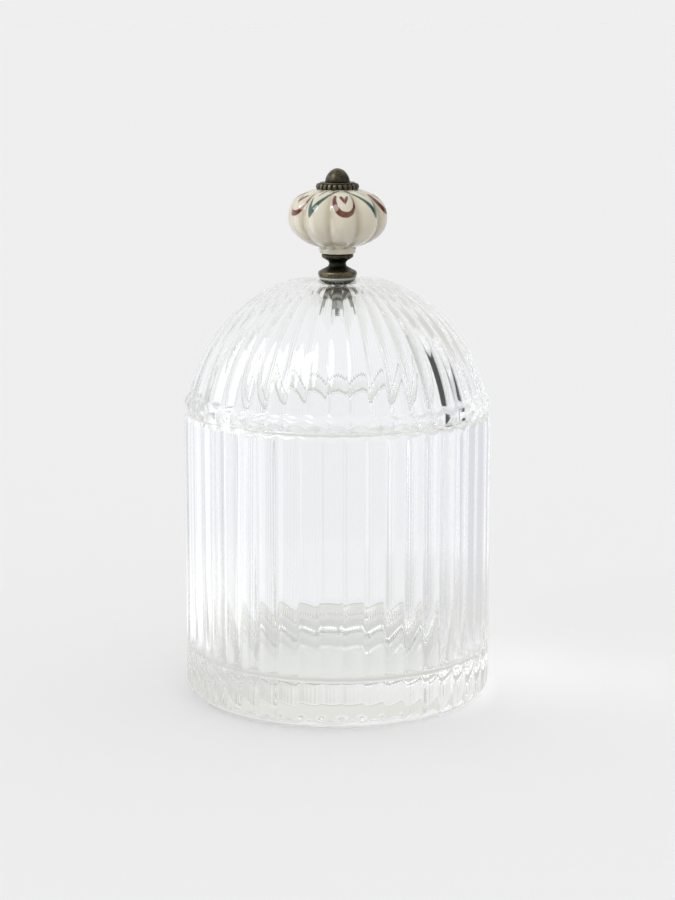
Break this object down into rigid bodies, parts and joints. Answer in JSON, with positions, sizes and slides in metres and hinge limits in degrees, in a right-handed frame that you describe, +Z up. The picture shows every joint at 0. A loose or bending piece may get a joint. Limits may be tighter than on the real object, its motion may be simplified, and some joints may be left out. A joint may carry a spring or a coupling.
{
  "type": "glass storage jar with lid",
  "caption": "Clear reeded glass jar with a domed lift-off glass lid, held by a painted ceramic knob on a bronze neck with a beaded rosette and an acorn nut",
  "frame": {"origin": "centre of the base on the table", "axes": "+Z up along the jar's axis, front towards -Y, +X to the right as in the picture"},
  "size_m": [0.122, 0.122, 0.2099],
  "materials": {
    "clear_glass": "polished, colourless pressed glass",
    "clear_washer": "soft translucent vinyl",
    "antique_bronze": "dark antique patina, worn lighter on the edges",
    "cream_glaze": "glossy cream glaze with brush strokes under it",
    "zinc_steel": "bright zinc plate",
    "dark_steel": "dark spring steel",
    "black_rubber": "matt"
  },
  "bodies": {
    "jar": {"jar_body": "clear_glass"},
    "lid_carrier": {"foot_washer": "clear_washer"},
    "lid": {"lid_dome": "clear_glass", "neck_spool": "antique_bronze", "ceramic_knob": "cream_glaze", "rosette": "antique_bronze", "finial_cap": "antique_bronze", "threaded_rod": "zinc_steel", "inner_gasket": "black_rubber", "flat_washer": "zinc_steel", "spring_washer": "dark_steel", "hex_nut": "zinc_steel"}
  },
  "joints": [
    {"name": "lid_lift", "type": "slide", "parent": "jar", "child": "lid_carrier", "axis": [0, 0, 1], "range_m": [0, 0.1]},
    {"name": "lid_turn", "type": "hinge", "parent": "lid_carrier", "child": "lid", "pos_m": [0, 0, 0.167], "axis": [0, 0, 1], "continuous": true}
  ]
}
